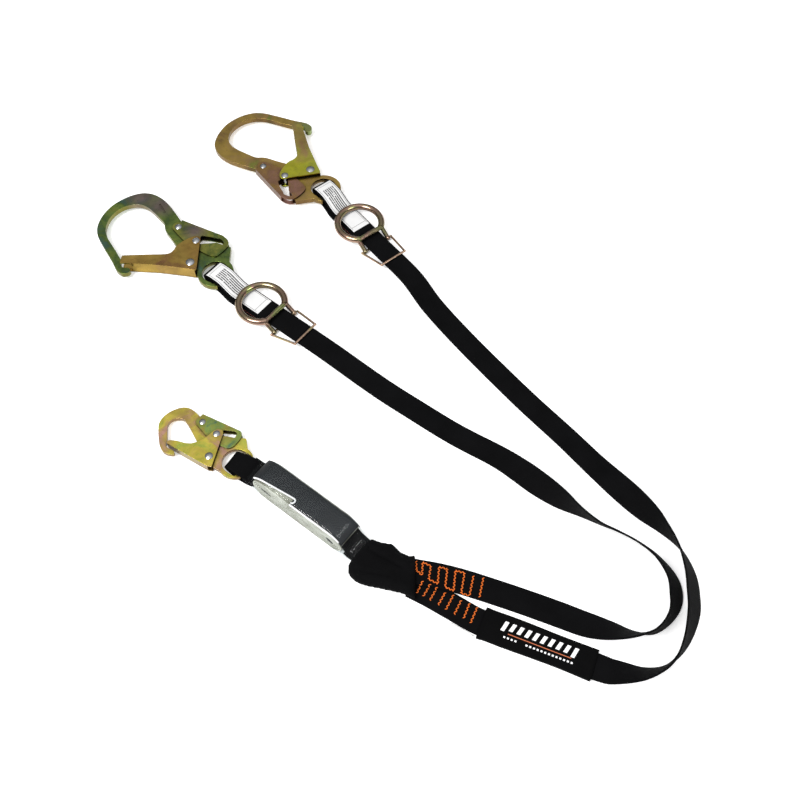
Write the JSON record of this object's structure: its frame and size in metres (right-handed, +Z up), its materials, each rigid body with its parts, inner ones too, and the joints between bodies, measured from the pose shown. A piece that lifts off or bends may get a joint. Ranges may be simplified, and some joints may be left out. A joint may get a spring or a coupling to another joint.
{
  "type": "shock absorbing lanyard",
  "caption": "Twin-leg shock absorbing safety lanyard: tear-web energy absorber, snap hook, two webbing legs with large rebar hooks and sliding tie-back rings.",
  "frame": {"origin": "centre of the bounding box of the hooks, absorber and fittings, on the floor it lies on", "axes": "+Z up from the floor; +X from the hooks towards the bends of the two legs; +Y from the absorber towards the outer leg's hook"},
  "size_m": [0.8191, 0.9296, 0.0448],
  "materials": {
    "webbing": "ribbed polyester weave",
    "label": "satin woven label",
    "tear_webbing": "folded undyed weave",
    "cover": "satin",
    "film": "clear heat-shrunk film",
    "thread": "stitching",
    "gold_zinc": "iridescent yellow zinc plating",
    "green_zinc": "iridescent green-yellow zinc plating",
    "snap_zinc": "bright yellow zinc plating",
    "rivet_steel": "bright",
    "spring_steel": "satin"
  },
  "bodies": {
    "webbing": {"outer_leg_webbing": "webbing", "outer_leg_end_loop": "webbing", "outer_leg_label": "label", "inner_leg_webbing": "webbing", "inner_leg_end_loop": "webbing", "inner_leg_label": "label", "snap_loop_webbing": "webbing", "tear_webbing_stack": "tear_webbing", "absorber_cover_panel": "cover", "shrink_film": "film", "leg_junction_loop": "webbing", "outer_leg_sleeve": "webbing", "inner_leg_bar_tack": "thread", "outer_leg_bar_tack": "thread", "folded_edge_tag": "label"},
    "outer_hook": {"outer_hook_frame": "gold_zinc", "outer_hook_gate_pivot": "rivet_steel", "outer_hook_lever_rivet": "rivet_steel", "outer_hook_gate_spring": "spring_steel", "outer_hook_lever_spring": "spring_steel"},
    "outer_hook_gate": {"outer_hook_gate": "gold_zinc", "outer_hook_lock_rivet": "rivet_steel"},
    "outer_hook_lever": {"outer_hook_lock_lever": "gold_zinc"},
    "inner_hook": {"inner_hook_frame": "green_zinc", "inner_hook_gate_pivot": "rivet_steel", "inner_hook_lever_rivet": "rivet_steel", "inner_hook_gate_spring": "spring_steel", "inner_hook_lever_spring": "spring_steel"},
    "inner_hook_gate": {"inner_hook_gate": "green_zinc", "inner_hook_lock_rivet": "rivet_steel"},
    "inner_hook_lever": {"inner_hook_lock_lever": "green_zinc"},
    "snap_hook": {"snap_hook_frame": "snap_zinc", "snap_hook_gate_pivot": "rivet_steel", "snap_hook_lever_rivet": "rivet_steel", "snap_hook_gate_spring": "spring_steel", "snap_hook_lever_spring": "spring_steel"},
    "snap_hook_gate": {"snap_hook_gate": "snap_zinc", "snap_hook_lock_rivet": "rivet_steel"},
    "snap_hook_lever": {"snap_hook_lock_lever": "snap_zinc"},
    "outer_ring_keeper": {"outer_ring_keeper": "gold_zinc"},
    "outer_tie_back_ring": {"outer_tie_back_ring": "gold_zinc"},
    "inner_ring_keeper": {"inner_ring_keeper": "gold_zinc"},
    "inner_tie_back_ring": {"inner_tie_back_ring": "gold_zinc"}
  },
  "joints": [
    {"name": "outer_hook_swing", "type": "hinge", "parent": "webbing", "child": "outer_hook", "pos_m": [0.00225, 0.28468, 0.01165], "axis": [0.7826, 0.6225, 0], "range_deg": [0, 90]},
    {"name": "outer_hook_gate_open", "type": "hinge", "parent": "outer_hook", "child": "outer_hook_gate", "pos_m": [-0.0294, 0.331, 0.01165], "axis": [0, 0, 1], "range_deg": [0, 36], "stiffness_Nm_per_rad": 0.5, "springref_deg": -17.19},
    {"name": "outer_hook_lever_squeeze", "type": "hinge", "parent": "outer_hook", "child": "outer_hook_lever", "pos_m": [-0.10406, 0.34149, 0.01165], "axis": [0, 0, 1], "range_deg": [0, 13.5]},
    {"name": "inner_hook_swing", "type": "hinge", "parent": "webbing", "child": "inner_hook", "pos_m": [-0.14629, 0.12197, 0.01165], "axis": [0.6211, 0.7837, 0], "range_deg": [0, 90]},
    {"name": "inner_hook_gate_open", "type": "hinge", "parent": "inner_hook", "child": "inner_hook_gate", "pos_m": [-0.1964, 0.1461, 0.01165], "axis": [0, 0, -1], "range_deg": [0, 36], "stiffness_Nm_per_rad": 0.5, "springref_deg": -17.19},
    {"name": "inner_hook_lever_squeeze", "type": "hinge", "parent": "inner_hook", "child": "inner_hook_lever", "pos_m": [-0.22219, 0.21694, 0.01165], "axis": [0, 0, -1], "range_deg": [0, 13.5]},
    {"name": "snap_hook_swing", "type": "hinge", "parent": "webbing", "child": "snap_hook", "pos_m": [-0.09072, -0.18614, 0.00875], "axis": [0.5299, 0.848, 0], "range_deg": [0, 90]},
    {"name": "snap_hook_gate_open", "type": "hinge", "parent": "snap_hook", "child": "snap_hook_gate", "pos_m": [-0.1379, -0.1719, 0.00875], "axis": [0, 0, -1], "range_deg": [0, 26], "stiffness_Nm_per_rad": 0.2, "springref_deg": -17.19},
    {"name": "snap_hook_lever_squeeze", "type": "hinge", "parent": "snap_hook", "child": "snap_hook_lever", "pos_m": [-0.15213, -0.11944, 0.00875], "axis": [0, 0, -1], "range_deg": [0, 12.5]},
    {"name": "outer_ring_slide", "type": "slide", "parent": "webbing", "child": "outer_ring_keeper", "axis": [0.6225, -0.7826, 0], "range_m": [0, 0.06]},
    {"name": "outer_ring_lift", "type": "hinge", "parent": "outer_ring_keeper", "child": "outer_tie_back_ring", "pos_m": [0.07508, 0.19311, 0.0042], "axis": [0.7826, 0.6225, 0], "range_deg": [0, 90]},
    {"name": "inner_ring_slide", "type": "slide", "parent": "webbing", "child": "inner_ring_keeper", "axis": [0.7837, -0.6211, 0], "range_m": [0, 0.06]},
    {"name": "inner_ring_lift", "type": "hinge", "parent": "inner_ring_keeper", "child": "inner_tie_back_ring", "pos_m": [-0.0546, 0.0493, 0.0042], "axis": [0.6211, 0.7837, 0], "range_deg": [0, 90]}
  ],
  "couplings": [
    {"joint": "outer_hook_lever_squeeze", "follows": "outer_hook_gate_open", "ratio": 0.3611},
    {"joint": "inner_hook_lever_squeeze", "follows": "inner_hook_gate_open", "ratio": 0.3611},
    {"joint": "snap_hook_lever_squeeze", "follows": "snap_hook_gate_open", "ratio": 0.4615}
  ]
}
